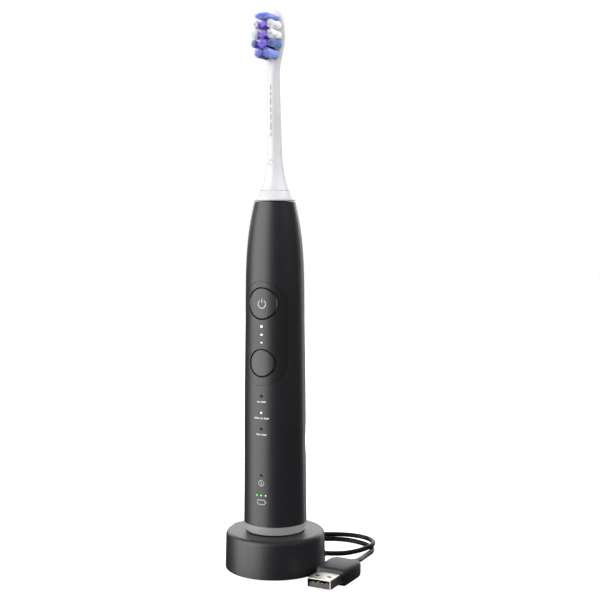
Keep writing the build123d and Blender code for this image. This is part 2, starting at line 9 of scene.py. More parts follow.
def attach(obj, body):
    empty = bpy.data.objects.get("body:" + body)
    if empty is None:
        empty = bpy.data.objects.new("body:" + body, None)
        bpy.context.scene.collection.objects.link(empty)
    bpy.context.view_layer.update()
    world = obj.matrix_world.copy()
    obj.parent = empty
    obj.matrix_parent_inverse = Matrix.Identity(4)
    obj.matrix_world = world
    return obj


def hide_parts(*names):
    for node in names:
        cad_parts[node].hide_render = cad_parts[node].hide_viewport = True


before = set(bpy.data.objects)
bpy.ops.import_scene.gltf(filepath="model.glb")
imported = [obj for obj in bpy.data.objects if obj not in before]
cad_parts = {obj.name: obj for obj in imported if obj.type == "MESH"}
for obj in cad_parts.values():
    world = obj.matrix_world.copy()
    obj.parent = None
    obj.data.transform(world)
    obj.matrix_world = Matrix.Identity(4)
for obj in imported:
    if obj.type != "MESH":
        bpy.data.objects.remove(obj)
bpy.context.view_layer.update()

MM = 0.001


# ---- studio ----------------------------------------------------------------------
# The toothbrush stands on a white floor under soft boxes: a broad one on the left gives
# the long highlight down the handle, and a narrow one behind lights its right edge. The floor's white is
# partly painted light: it glows, a little dimmer round the base and full white further out.

camera_azimuth = math.radians(26.5)
camera_distance = 0.5217
camera_height = 0.1654
camera_pitch = math.radians(-3.80)
camera_yaw = math.radians(1.322)


def turned(x, y, z):
    """A point given across, away from and above the base, as seen by the camera."""
    c, s = math.cos(camera_azimuth), math.sin(camera_azimuth)
    return Vector((x * c - y * s, x * s + y * c, z))


camera_data = bpy.data.cameras.new("camera")
camera_data.lens = 65.0
camera_data.sensor_width = 36.0
camera = bpy.data.objects.new("camera", camera_data)
bpy.context.scene.collection.objects.link(camera)
camera.location = turned(0, -camera_distance, camera_height)
sight = turned(
    math.sin(camera_yaw) * math.cos(camera_pitch),
    math.cos(camera_yaw) * math.cos(camera_pitch),
    math.sin(camera_pitch),
)
camera.rotation_mode = "QUATERNION"
camera.rotation_quaternion = sight.to_track_quat("-Z", "Y")
bpy.context.scene.camera = camera


def soft_box(name, place, target, size, power, glossy=True):
    """A rectangular area light that looks at a point of the object."""
    lamp = bpy.data.lights.new(name, "AREA")
    lamp.shape = "RECTANGLE"
    lamp.size, lamp.size_y = size
    lamp.energy = power
    light = bpy.data.objects.new(name, lamp)
    light.location = turned(*place)
    light.rotation_mode = "QUATERNION"
    light.rotation_quaternion = (turned(*target) - light.location).to_track_quat("-Z", "Y")
    light.visible_camera = False
    light.visible_glossy = glossy
    bpy.context.scene.collection.objects.link(light)


middle = (0, 0, 0.13)
soft_box("left_box", (-0.64, -0.29, 0.22), middle, (1.05, 1.1), 18.0)
soft_box("rim_box", (0.55, 0.62, 0.20), middle, (0.30, 0.9), 1.6)
soft_box("back_box", (0.0, 1.5, 0.60), (0, 0, 0.02), (2.4, 0.7), 19.0)
soft_box("high_box", (0.65, -0.35, 0.65), middle, (0.7, 0.7), 15.5, glossy=False)
soft_box("top_box", (-0.2, 0.25, 0.9), middle, (0.8, 0.8), 9.0, glossy=False)

world = bpy.data.worlds.new("studio")
world.use_nodes = True
backdrop = world.node_tree.nodes["Background"]
backdrop.inputs["Color"].default_value = (1, 1, 1, 1)
backdrop.inputs["Strength"].default_value = 1.0
world.cycles_visibility.diffuse = False
world.cycles_visibility.glossy = False
bpy.context.scene.world = world
bpy.context.scene.view_settings.view_transform = "Standard"


class Field:
    """A number that varies over a surface. Arithmetic on it adds Math nodes."""

    def __init__(self, finish, socket):
        self.finish = finish
        self.socket = socket

    def _math(self, operation, first, second):
        node = self.finish.add("Math", {0: first, 1: second}, operation=operation)
        return Field(self.finish, node.outputs[0])

    def __add__(self, other):
        return self._math("ADD", self, other)

    __radd__ = __add__

    def __mul__(self, other):
        return self._math("MULTIPLY", self, other)

    __rmul__ = __mul__


class Finish:
    """A surface finish: one principled shader, with the nodes that vary it."""

    def __init__(self, name, colour, roughness, **constants):
        self.material = bpy.data.materials.new(name)
        self.material.use_nodes = True
        self.tree = self.material.node_tree
        self.shader = self.tree.nodes["Principled BSDF"]
        self.shader.inputs["Base Color"].default_value = (*colour, 1)
        self.shader.inputs["Roughness"].default_value = roughness
        for socket, value in constants.items():
            self.shader.inputs[socket.replace("_", " ").title().replace("Ior", "IOR")].default_value = value
        self.place = self.add("TexCoord").outputs["Object"]

    def add(self, kind, inputs=None, **settings):
        """Adds a node of a type, with its settings first and then its sockets."""
        node = self.tree.nodes.new("ShaderNode" + kind)
        for name, value in settings.items():
            setattr(node, name, value)
        for name, value in (inputs or {}).items():
            self.link(value, node.inputs[name])
        return node

    def link(self, value, socket):
        """Sets a socket from a number, a colour, a field or another node's socket."""
        if isinstance(value, Field):
            value = value.socket
        if isinstance(value, bpy.types.NodeSocket):
            self.tree.links.new(value, socket)
        elif isinstance(value, tuple) and len(value) == 3 and socket.type == "RGBA":
            socket.default_value = (*value, 1)
        else:
            socket.default_value = value

    def noise(self, scale, detail=2.0, stretch=(1, 1, 1)):
        """Soft noise, in features per metre."""
        place = self.add("Mapping", {"Vector": self.place, "Scale": stretch}).outputs[0]
        node = self.add("TexNoise", {"Vector": place, "Scale": scale, "Detail": detail})
        return Field(self, node.outputs["Fac"])

    def axis(self, name):
        """A coordinate of the object's own space, in metres."""
        return Field(self, self.add("SeparateXYZ", {0: self.place}).outputs[name])

    def ramp(self, value, low, high):
        """0 below low and 1 above high, with a straight rise between."""
        settings = {"Value": value, "From Min": low, "From Max": high}
        return Field(self, self.add("MapRange", settings).outputs[0])

    def ribs(self, count):
        """Even level ridges, so many to the metre."""
        waves_a_unit = 20.0 / (2 * math.pi)
        settings = {"Vector": self.place, "Scale": count / waves_a_unit}
        node = self.add("TexWave", settings, bands_direction="Z")
        return Field(self, node.outputs["Fac"])

    def blend(self, factor, first, second):
        """A colour between two colours."""
        node = self.add("Mix", data_type="RGBA")
        colours = [socket for socket in node.inputs if socket.type == "RGBA"]
        self.link(factor, node.inputs[0])
        self.link(first, colours[0])
        self.link(second, colours[1])
        return next(socket for socket in node.outputs if socket.type == "RGBA")

    def vary(self, socket, value):
        """Feeds one of the shader's own sockets."""
        self.link(value, self.shader.inputs[socket])
        return self

    def bump(self, height, distance):
        """Raises the surface by a field, by a distance in metres where it is 1."""
        node = self.add("Bump", {"Height": height, "Distance": distance, "Strength": 1.0})
        self.link(node.outputs[0], self.shader.inputs["Normal"])
        return self


def moulded(name, colour, roughness, grain=2600.0, depth=0.00001, **constants):
    """Moulded plastic or rubber: a fine spark-eroded grain and slightly uneven gloss."""
    finish = Finish(name, colour, roughness, **constants)
    fine = finish.noise(grain, 3.0)
    broad = finish.noise(60.0, 2.0)
    darker = tuple(0.86 * part for part in colour)
    finish.vary("Base Color", finish.blend(broad, darker, colour))
    finish.vary("Roughness", roughness - 0.04 + 0.05 * broad + 0.03 * fine)
    return finish.bump(fine, depth)


def metal(name, colour, roughness, metallic=1.0, stretch=(1, 1, 0.05), ribs=None, rib_depth=0.0):
    """Drawn or plated metal with faint lines along one way, or with level ribs."""
    finish = Finish(name, colour, roughness, metallic=metallic)
    lines = finish.noise(900.0, 3.0, stretch)
    finish.vary("Roughness", roughness - 0.06 + 0.14 * lines)
    if ribs:
        return finish.bump(finish.ribs(ribs), rib_depth)
    return finish.bump(lines, 0.000003)


def dress(finish, *nodes):
    """Gives CAD nodes a finish."""
    for node in nodes:
        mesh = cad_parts[node].data
        mesh.materials.clear()
        mesh.materials.append(finish.material)


floor_reach = 4.0
floor_mesh = bpy.data.meshes.new("floor")
floor_corners = [(x * floor_reach, y * floor_reach, 0) for x, y in ((-1, -1), (1, -1), (1, 1), (-1, 1))]
floor_mesh.from_pydata(floor_corners, [], [(0, 1, 2, 3)])
floor = bpy.data.objects.new("floor", floor_mesh)
bpy.context.scene.collection.objects.link(floor)
# The floor glows, which is painted light. The glow keeps the floor white where the soft boxes' light falls
# off, and is a little dimmer round the base so their light and shadows still show there. The floor is hidden
# from the object's reflections and bounce light.
floor_glow = moulded("floor_glow", (0.4, 0.4, 0.4), 0.9, emission_strength=1.0)
from_middle = floor_glow.add("VectorMath", {0: floor_glow.place}, operation="LENGTH").outputs["Value"]
far_out = floor_glow.ramp(Field(floor_glow, from_middle), 0.05, 0.4)
floor_glow.vary("Emission Color", floor_glow.blend(far_out, (0.86, 0.86, 0.86), (1.0, 1.0, 1.0)))
floor_mesh.materials.append(floor_glow.material)
floor.visible_glossy = False
floor.visible_diffuse = False


# ---- cord ------------------------------------------------------------------------
# A black PVC lead, 2.4 mm thick and about a metre long. It leaves the charger's back,
# loops out to the right, and most of it is wound into a small tied coil behind.

cord_diameter = 2.4 * MM
layer_pitch = 2.45
coil_mid_radius = 13.2
coil_turns_wide = 5
coil_centre = (-24.8, 38.5)
low_layer = 1.25
high_layer = low_layer + layer_pitch
lead_points = [
    (17.29, 20.61, 3.0), (20.5, 23.8, 2.3), (26.4, 28.3, 2.1), (31.7, 32.8, 3.0), (34.9, 39.6, 3.7),
    (33.6, 46.8, 3.7), (28.4, 51.8, 3.7), (21.6, 53.9, 3.7), (13.6, 53.2, 3.7), (5.6, 49.7, 3.7),
    (0.2, 47.0, 3.7), (-3.9, 42.2, 3.7),
]
tail_points = [
    (-8.6, 48.6, 1.25), (-2.4, 46.9, 1.25), (4.2, 48.8, 1.25), (10.6, 52.0, 1.25), (18.2, 52.6, 1.25),
    (25.6, 50.5, 1.25), (31.9, 46.4, 1.25), (35.5, 40.2, 1.25), (35.3, 32.0, 1.25), (35.8, 24.2, 1.7),
    (37.1, 17.0, 3.0), (36.95, 10.95, 3.95),
]
steps_a_turn = 16
coil_start = math.radians(-8.0)
coil_end = math.radians(50.0)
drop_start = 0.47           # the share of the coil after which the cord changes layers
drop_share = 0.06
tie_angle = math.radians(170.0)
tie_lift = 0.55             # how far the turns rise inside the tie
tie_sharpness = 6


def coil_points():
    """The upper layer winds inwards, drops to the lower layer and winds out again."""
    total = coil_start - coil_end + 2 * math.pi * 2 * coil_turns_wide
    count = round(total / (2 * math.pi) * steps_a_turn)
    points = []
    for step in range(count + 1):
        share = step / count
        angle = coil_start - total * share
        inwards = 1 - abs(1 - 2 * share)
        radius = coil_mid_radius + layer_pitch * (coil_turns_wide - 1) * (0.5 - inwards)
        drop = min(1.0, max(0.0, (share - drop_start) / drop_share))
        lift = tie_lift * max(0.0, math.cos(angle - tie_angle)) ** tie_sharpness
        height = high_layer - layer_pitch * drop + lift
        points.append((
            coil_centre[0] + radius * math.cos(angle), coil_centre[1] + radius * math.sin(angle), height,
        ))
    return points


route = lead_points + coil_points() + tail_points
cord_curve = bpy.data.curves.new("charging_cord", "CURVE")
cord_curve.dimensions = "3D"
spline = cord_curve.splines.new("NURBS")
spline.points.add(len(route) - 1)
for point, (x, y, z) in zip(spline.points, route):
    point.co = (x * MM, y * MM, z * MM, 1)
spline.order_u = 3
spline.use_endpoint_u = True
spline.resolution_u = 6
cord_curve.bevel_depth = cord_diameter / 2
cord_curve.bevel_resolution = 5
cord_curve.use_fill_caps = True
charging_cord = bpy.data.objects.new("charging_cord", cord_curve)
bpy.context.scene.collection.objects.link(charging_cord)
cord_pvc = moulded(
    "cord_pvc", (0.007, 0.007, 0.008), 0.42, grain=900.0, depth=0.000004, specular_ior_level=0.15,
)
cord_curve.materials.append(cord_pvc.material)
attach(charging_cord, "charger")
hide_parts("cord_lead", "cord_coil", "cord_tail")


# ---- charger ---------------------------------------------------------------------
# The inductive puck: a charcoal ABS moulding with a fine satin grain, a rounded top edge
# and a stub that enters the handle's foot. A rubber ring under it keeps it from sliding.


crease = math.radians(35.0)  # edges that turn more than this stay sharp


def mesh_object(name, vertices, faces, finish):
    """A mesh from points in millimetres, smooth except at its sharp edges."""
    mesh = bpy.data.meshes.new(name)
    mesh.from_pydata([(x * MM, y * MM, z * MM) for x, y, z in vertices], [], faces)
    skin = bmesh.new()
    skin.from_mesh(mesh)
    bmesh.ops.recalc_face_normals(skin, faces=skin.faces)
    skin.to_mesh(mesh)
    skin.free()
    mesh.shade_smooth()
    mesh.set_sharp_from_angle(angle=crease)
    mesh.materials.append(finish.material)
    thing = bpy.data.objects.new(name, mesh)
    bpy.context.scene.collection.objects.link(thing)
    return thing


def skinned(name, rings, finish, closed=False):
    """A skin over rings of points. A ring of one point closes an end."""
    vertices, starts, faces = [], [], []
    for ring in rings:
        starts.append(len(vertices))
        vertices += ring
    pairs = list(zip(range(len(rings)), range(1, len(rings))))
    if closed:
        pairs.append((len(rings) - 1, 0))
    for first, second in pairs:
        count = max(len(rings[first]), len(rings[second]))
        for step in range(count):
            corners = []
            for ring, offset in ((first, step), (first, step + 1), (second, step + 1), (second, step)):
                corner = starts[ring] + offset % len(rings[ring])
                if corner not in corners:
                    corners.append(corner)
            faces.append(corners)
    return mesh_object(name, vertices, faces, finish)


def circle(radius, height, count=96):
    """A level ring of points, or one point where the radius is nothing."""
    if radius == 0:
        return [(0, 0, height)]
    turns = [2 * math.pi * step / count for step in range(count)]
    return [(radius * math.cos(turn), radius * math.sin(turn), height) for turn in turns]


def rounded(corners, steps=5):
    """An open outline of (x, y, rounding) corners, each rounded by its own amount."""
    outline = []
    for index, (x, y, size) in enumerate(corners):
        if size == 0:
            outline.append((x, y))
            continue
        corner = Vector((x, y))
        before = corner - size * (corner - Vector(corners[index - 1][:2])).normalized()
        after = corner + size * (Vector(corners[(index + 1) % len(corners)][:2]) - corner).normalized()
        for step in range(steps + 1):
            share = step / steps
            point = before.lerp(corner, share).lerp(corner.lerp(after, share), share)
            outline.append((point.x, point.y))
    return outline


charcoal = moulded("charcoal_plastic", (0.0132, 0.0125, 0.0145), 0.43)
foot_rubber = moulded("foot_rubber", (0.015, 0.015, 0.015), 0.6)
puck_radius, puck_bottom, puck_top = 24.4, 0.6, 18.6
puck_draft = 0.4
puck_rounding = 2.3
seat_radius, seat_top = 10.0, 19.2
pin_radius, pin_top = 3.4, 27.6
cavity_radius, cavity_top = 22.2, 16.6
pin_bore, pin_bore_top = 2.6, 26.8
puck_outline = rounded([
    (0, pin_top, 0), (pin_radius, pin_top, 0.9), (pin_radius, seat_top, 0.25),
    (seat_radius, seat_top, 0.25), (seat_radius, puck_top, 0.15),
    (puck_radius - puck_draft, puck_top, puck_rounding), (puck_radius, puck_bottom, 0.5),
    (cavity_radius, puck_bottom, 0.2), (cavity_radius, cavity_top, 0.4),
    (pin_bore, cavity_top, 0.3), (pin_bore, pin_bore_top, 0.3), (0, pin_bore_top, 0),
])
puck_steps = 144
puck_rings = [circle(radius, height, puck_steps) for radius, height in puck_outline]
puck_shell = skinned("puck_shell", puck_rings, charcoal)
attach(puck_shell, "charger")
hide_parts("charger_housing")
dress(charcoal, "charger_base")
dress(foot_rubber, "charger_foot", "cord_gland")


# ---- inside the charger ----------------------------------------------------------
# A copper winding round a ferrite rod in the stub, over a small glass-epoxy board.

copper = metal("copper_wire", (0.62, 0.27, 0.13), 0.34, ribs=2500.0, rib_depth=0.00012)
ferrite = moulded("ferrite", (0.05, 0.05, 0.055), 0.5)
solder_mask = moulded("solder_mask", (0.02, 0.13, 0.06), 0.32)
solder_mask.vary("Roughness", 0.25 + 0.2 * solder_mask.noise(900.0, 4.0))
dress(copper, "charger_coil", "receiver_coil", "stator_coil")
dress(ferrite, "ferrite_core")
dress(solder_mask, "charger_board", "control_board", "head_chip")


# ---- end cap ---------------------------------------------------------------------
# A mid-grey moulded cap that plugs into the foot of the handle with a rubber seal, and
# holds the receiver coil's bobbin round the charging pocket.

cap_grey = moulded("cap_grey", (0.30, 0.30, 0.305), 0.36)
seal_rubber = moulded("seal_rubber", (0.02, 0.02, 0.02), 0.55)
nylon = moulded("nylon", (0.55, 0.54, 0.50), 0.45)
dress(cap_grey, "end_cap")
dress(seal_rubber, "end_cap_seal", "shaft_seal")
dress(nylon, "coil_bobbin", "chassis", "power_plunger", "mode_plunger")


# ---- handle housing and soft panel -----------------------------------------------
# A charcoal ABS sleeve with a satin grain, and a soft-touch panel round the buttons that
# sits flush in it with a hairline gap.

soft_panel = moulded("soft_panel", (0.011, 0.0108, 0.0115), 0.43, grain=3200.0)
dress(charcoal, "handle_housing")
dress(soft_panel, "button_panel")

shell_points, shell_faces = [], []
for node in ("handle_housing", "button_panel", "power_button", "mode_button"):
    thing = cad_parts[node]
    start = len(shell_points)
    shell_points += [thing.matrix_world @ vertex.co for vertex in thing.data.vertices]
    shell_faces += [[start + index for index in face.vertices] for face in thing.data.polygons]
shell_tree = BVHTree.FromPolygons(shell_points, shell_faces)


def seen_from_front(tree, across, height):
    """How far a surface's front is from the middle plane, in millimetres."""
    start = Vector((across * MM, -0.04, height * MM))
    return tree.ray_cast(start, Vector((0, 1, 0)))[0].y / MM


def front(across, height):
    """The handle's front surface, in millimetres."""
    return seen_from_front(shell_tree, across, height)


# ---- buttons ---------------------------------------------------------------------
# Two round soft-touch buttons with a shallow dish and a rounded rim, each in an open
# ring gap. The upper one carries a light grey printed power symbol.

button_rubber = moulded("button_rubber", (0.017, 0.0168, 0.0175), 0.4, grain=3200.0)
print_grey = moulded("print_grey", (0.42, 0.42, 0.43), 0.5, grain=1800.0, depth=0.000002)


button_dish = 0.14


def button_cap(name, height, radius, thickness=1.9, rim=0.55, count=72):
    """A round button that follows the handle's surface, with a rounded rim."""
    back = front(0, height) + thickness
    levels = [radius * share for share in (0.0, 0.15, 0.3, 0.45, 0.6, 0.72, 0.82, 0.9)]
    levels += [radius - rim * (1 - math.sin(math.radians(turn))) for turn in (0, 18, 36, 54, 72, 90)]
    rings = []
    for level in levels:
        drop = button_dish * (1 - (level / radius) ** 2)
        if level > radius - rim:
            drop += rim - math.sqrt(max(0.0, rim ** 2 - (level - radius + rim) ** 2))
        ring = []
        for step in range(count if level else 1):
            turn = 2 * math.pi * step / count
            across, rise = level * math.cos(turn), level * math.sin(turn)
            ring.append((across, front(0.99 * across, height + 0.99 * rise) + drop, height + rise))
        rings.append(ring)
    rings.append([(x, back, z) for x, y, z in rings[-1]])
    rings.append([(0, back, height)])
    return skinned(name, rings, button_rubber)


def printed(name, strokes, finish, lift=0.02, depth=0.06, surface=front):
    """Ink strokes on a surface: each is points (across, height), a width, and if it closes."""
    longest_piece = 0.35
    vertices, faces = [], []
    for corners, width, closed in strokes:
        points = []
        for first, second in zip(corners, corners[1:] + corners[:1]):
            pieces = max(1, round(math.dist(first, second) / longest_piece))
            points += [tuple(Vector(first).lerp(second, step / pieces)) for step in range(pieces)]
        if not closed:
            points = points[:len(points) - pieces] + [corners[-1]]
        count = len(points)
        start = len(vertices)
        for index, point in enumerate(points):
            before = points[index - 1] if closed or index else point
            after = points[(index + 1) % count] if closed or index < count - 1 else point
            along = (Vector(after) - Vector(before)).normalized()
            for side, sink in ((1, -lift), (-1, -lift), (-1, depth), (1, depth)):
                x = point[0] - side * along.y * width / 2
                z = point[1] + side * along.x * width / 2
                vertices.append((x, surface(x, z) + sink, z))
        for index in range(count if closed else count - 1):
            first, second = start + 4 * index, start + 4 * ((index + 1) % count)
            faces += [(first + k, first + (k + 1) % 4, second + (k + 1) % 4, second + k) for k in range(4)]
        if not closed:
            end = start + 4 * (count - 1)
            faces += [(start, start + 1, start + 2, start + 3), (end, end + 1, end + 2, end + 3)]
    return mesh_object(name, vertices, faces, finish)


def arc(across, height, radius, start, end, count=32):
    """Points on an arc, with its ends in degrees."""
    turns = [math.radians(start + (end - start) * step / count) for step in range(count + 1)]
    return [(across + radius * math.cos(turn), height + radius * math.sin(turn)) for turn in turns]


power_height, power_radius = 129.9, 7.35
mode_height, mode_radius = 101.7, 6.4
power_cap = button_cap("power_cap", power_height, power_radius)
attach(power_cap, "power")
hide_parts("power_button")
mode_cap = button_cap("mode_cap", mode_height, mode_radius)
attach(mode_cap, "mode")
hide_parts("mode_button")


def dished(across, height):
    """The power button's dished face."""
    level = math.hypot(across, height - power_height)
    return front(across, height) + button_dish * (1 - (level / power_radius) ** 2)


symbol_stroke = 0.42
power_symbol = printed("power_symbol", [
    (arc(0, power_height - 0.2, 1.95, 125, 415), symbol_stroke, False),
    ([(0, power_height + 0.3), (0, power_height + 2.3)], symbol_stroke, False),
], print_grey, surface=dished)
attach(power_symbol, "power")


# ---- printed marks on the handle -------------------------------------------------
# Plain bars stand in for the printed names of the modes, and a ring and a battery
# outline for the two symbols at the bottom.

bar_thickness = 0.75
bar_gap = 0.5
label_bars = []
for label_height, bars in ((83.3, (1.5, 2.6)), (75.5, (3.0, 1.2, 2.6)), (67.7, (2.2, 2.6))):
    x = -(sum(bars) + bar_gap * (len(bars) - 1)) / 2
    for bar in bars:
        label_bars.append(([(x, label_height), (x + bar, label_height)], bar_thickness, False))
        x += bar + bar_gap
handle_labels = printed("handle_labels", label_bars, print_grey)
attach(handle_labels, "handle")

cell_outline = rounded([(-2.0, 34.2, 0.7), (2.0, 34.2, 0.7), (2.0, 36.3, 0.7), (-2.0, 36.3, 0.7)], 3)
reminder_height = 44.4
handle_symbols = printed("handle_symbols", [
    (arc(0, reminder_height, 1.35, 60, 400), 0.32, False),
    ([(0, reminder_height - 0.9), (0, reminder_height + 0.9)], 0.3, False),
    (cell_outline, 0.3, True),
    ([(2.45, 34.9), (2.45, 35.6)], 0.3, False),
], print_grey)
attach(handle_symbols, "handle")


# ---- lights ----------------------------------------------------------------------
# Small light pipes set flush in the wall, each with a dark rim. The intensity lights and
# the middle mode light are lit white, the battery lights green, and the others are dark.


def lit(name, colour, glow, strength):
    """A clear pipe's middle with light coming out of it."""
    return Finish(name, colour, 0.3, emission_color=(*glow, 1), emission_strength=strength)


lit_white = lit("lit_white", (0.8, 0.8, 0.82), (0.93, 0.96, 1.0), 1.3)
lit_green = lit("lit_green", (0.1, 0.4, 0.1), (0.16, 0.72, 0.13), 0.85)
lit_lime = lit("lit_lime", (0.2, 0.4, 0.1), (0.42, 0.75, 0.10), 0.85)
unlit = moulded("unlit_pipe", (0.004, 0.004, 0.005), 0.7, specular_ior_level=0.1)


def light_pipes(name, node, pipes, depth=3.0, crown=0.08, count=24):
    """Short rods in the wall with domed ends, dark at the rim: (across, height, radius, finish) each."""
    vertices, faces, owners, finishes = [], [], [], [unlit]
    for across, height, radius, finish in pipes:
        if finish not in finishes:
            finishes.append(finish)
        start = len(vertices)
        face = front(across + radius + 0.2, height)
        levels = [(1.0, depth), (1.0, 0.0), (0.7, -0.7 * crown), (0.4, -0.93 * crown)]
        for share, sink in levels:
            for step in range(count):
                turn = 2 * math.pi * step / count
                x, z = share * radius * math.cos(turn), share * radius * math.sin(turn)
                vertices.append((across + x, face + sink, height + z))
        vertices += [(across, face + depth, height), (across, face - crown, height)]
        back, tip = start + 4 * count, start + 4 * count + 1
        rim_owner, middle_owner = 0, finishes.index(finish)
        for step in range(count):
            other = (step + 1) % count
            faces.append((back, start + other, start + step))
            faces.append((tip, start + 3 * count + step, start + 3 * count + other))
            for level in range(3):
                low = start + level * count
                faces.append((low + step, low + other, low + count + other, low + count + step))
            owners += [rim_owner, middle_owner, rim_owner, rim_owner, middle_owner]
    pipe = mesh_object(name, vertices, faces, finishes[0])
    for finish in finishes[1:]:
        pipe.data.materials.append(finish.material)
    for face, owner in zip(pipe.data.polygons, owners):
        face.material_index = owner
    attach(pipe, "handle")
    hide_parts(node)


light_pipes("intensity_pipes", "intensity_lights", [
    (0, 119.1, 0.85, lit_white), (0, 115.2, 0.7, lit_white), (0, 111.5, 0.55, lit_white),
])
light_pipes("mode_pipes", "mode_lights", [
    (0, 78.1, 0.7, lit_white), (0, 86.0, 0.7, unlit), (0, 70.4, 0.7, unlit),
])
light_pipes("reminder_pipe", "reminder_light", [(0, 48.1, 0.65, unlit)])
light_pipes("battery_pipes", "battery_lights", [
    (across, 38.5, 0.65, finish) for across, finish in ((-2.2, lit_green), (0, lit_green), (2.2, lit_lime))
])


# ---- works inside the handle -----------------------------------------------------
# A sleeved lithium cell, a foam pad, and the resonant motor: laminated core, copper
# winding, nickel-plated magnets on a steel shaft held by a torsion bar and two bearings.

shaft_steel = metal("shaft_steel", (0.60, 0.59, 0.57), 0.2)
lamination = metal("lamination", (0.42, 0.42, 0.43), 0.35, ribs=1400.0, rib_depth=0.00005)
magnet_nickel = metal("magnet_nickel", (0.66, 0.64, 0.60), 0.15)
cell_sleeve = moulded("cell_sleeve", (0.02, 0.10, 0.26), 0.28)
foam = moulded("foam", (0.06, 0.06, 0.06), 0.9, grain=900.0, depth=0.0001)
switch_black = moulded("switch_black", (0.02, 0.02, 0.02), 0.4)
dress(shaft_steel, "drive_shaft", "rotor_core", "lower_bearing", "upper_bearing", "bar_anchor", "torsion_bar")
dress(shaft_steel, "battery_tabs", "shaft_clip")
dress(lamination, "stator_core")
dress(magnet_nickel, "rotor_magnets")
dress(cell_sleeve, "battery_cell")
dress(foam, "foam_pad")
dress(switch_black, "switch_bodies")


# ---- brush head ------------------------------------------------------------------
# One glossy white moulding: a cone that swells over the handle's shoulder, a slim neck
# bored for the shaft, and a rounded paddle with a flat front. A ring closes its foot.

brush_white = moulded("brush_white", (0.49, 0.495, 0.508), 0.22, grain=1500.0, depth=0.000003)
collar_white = moulded("collar_white", (0.46, 0.465, 0.475), 0.28, grain=1500.0, depth=0.000003)

# height, half width, front and back of the neck and the paddle, and how square each is
head_sections = [
    (183.35, 7.85, -7.85, 7.85, 2.0), (184.6, 7.35, -7.35, 7.35, 2.0), (186.3, 6.7, -6.7, 6.7, 2.0),
    (188.8, 5.85, -5.85, 5.85, 2.0), (191.9, 5.1, -5.1, 5.1, 2.0), (197.5, 4.3, -4.3, 4.25, 2.0),
    (205.5, 3.85, -4.0, 3.65, 2.0), (219.2, 3.6, -4.25, 2.95, 2.0), (233.4, 3.4, -4.4, 2.2, 2.1),
    (240.0, 3.45, -4.35, 1.75, 2.2), (244.0, 4.0, -4.2, 1.45, 2.4), (248.0, 5.0, -4.1, 1.2, 2.6),
    (252.0, 6.0, -4.1, 0.95, 2.7), (256.0, 6.5, -4.1, 0.8, 2.7), (260.0, 6.35, -4.1, 0.65, 2.7),
]


def along_sections(height):
    """The section at a height, on smooth curves through the listed ones."""
    spot = max(index for index, row in enumerate(head_sections) if row[0] <= height)
    spot = min(spot, len(head_sections) - 2)
    rows = [head_sections[min(max(index, 0), len(head_sections) - 1)] for index in range(spot - 1, spot + 3)]
    span = rows[2][0] - rows[1][0]
    share = (height - rows[1][0]) / span
    values = []
    for column in range(1, 5):
        start_slope = (rows[2][column] - rows[0][column]) / (rows[2][0] - rows[0][0]) * span
        end_slope = (rows[3][column] - rows[1][column]) / (rows[3][0] - rows[1][0]) * span
        start, end = rows[1][column], rows[2][column]
        values.append(
            (2 * share ** 3 - 3 * share ** 2 + 1) * start
            + (share ** 3 - 2 * share ** 2 + share) * start_slope
            + (3 * share ** 2 - 2 * share ** 3) * end
            + (share ** 3 - share ** 2) * end_slope
        )
    return values


head_steps = 72


def head_ring(height, width, near, far, squareness):
    """A section whose front and back halves have their own depths."""
    middle_y = (near + far) / 2
    ring = []
    for step in range(head_steps):
        turn = 2 * math.pi * step / head_steps
        c, s = math.cos(turn), math.sin(turn)
        x = width * math.copysign(abs(c) ** (2 / squareness), c)
        y = middle_y + (far - near) / 2 * math.copysign(abs(s) ** (2 / squareness), s)
        ring.append((x, y, height))
    return ring


straight_from, straight_to = 192.0, 238.0
tip_start, tip_end = 260.0, 268.8
tip_steps = 15
tip_middle = -1.7           # where the paddle's front and back meet at its tip
head_rings = []
level = head_sections[0][0]
while level < tip_start:
    head_rings.append(head_ring(level, *along_sections(level)))
    level += 1.8 if straight_from <= level <= straight_to else 0.7
width, near, far, squareness = along_sections(tip_start)
for step in range(tip_steps):
    turn = math.radians(90 * step / tip_steps)
    narrowed = width * math.cos(turn) ** 0.85
    thinned = math.cos(turn) ** 0.45
    tip_near, tip_far = (tip_middle + (side - tip_middle) * thinned for side in (near, far))
    level = tip_start + (tip_end - tip_start) * math.sin(turn)
    head_rings.append(head_ring(level, narrowed, tip_near, tip_far, squareness))
head_rings.append([(0, tip_middle, tip_end)])
bore_radius, bore_top = 1.8, 205.2
bore_chamfer = 0.5
neck_bottom = 183.2
neck_foot = [
    [(0, 0, bore_top)], circle(bore_radius, bore_top, head_steps),
    circle(bore_radius, neck_bottom + bore_chamfer, head_steps),
    circle(bore_radius + bore_chamfer, neck_bottom, head_steps), circle(7.5, neck_bottom, head_steps),
]
brush_body = skinned("brush_body", neck_foot + head_rings, brush_white)
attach(brush_body, "brush")
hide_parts("brush_neck")

collar_radius, collar_bottom = 9.95, 178.3
collar_outline = rounded([
    (8.65, collar_bottom, 0.1), (collar_radius, collar_bottom, 0.25), (collar_radius, 179.25, 0.2),
    (9.7, 179.35, 0.1), (8.05, neck_bottom, 0.2), (6.6, neck_bottom, 0.1),
], 3)
collar_rings = [circle(radius, height) for radius, height in collar_outline]
brush_ring = skinned("brush_ring", collar_rings, collar_white, closed=True)
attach(brush_ring, "brush")
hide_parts("brush_collar")

body_points = [vertex.co for vertex in brush_body.data.vertices]
body_faces = [list(face.vertices) for face in brush_body.data.polygons]
body_tree = BVHTree.FromPolygons(body_points, body_faces)


def neck_front(across, height):
    """The brush head's front surface, in millimetres."""
    return seen_from_front(body_tree, across, height)


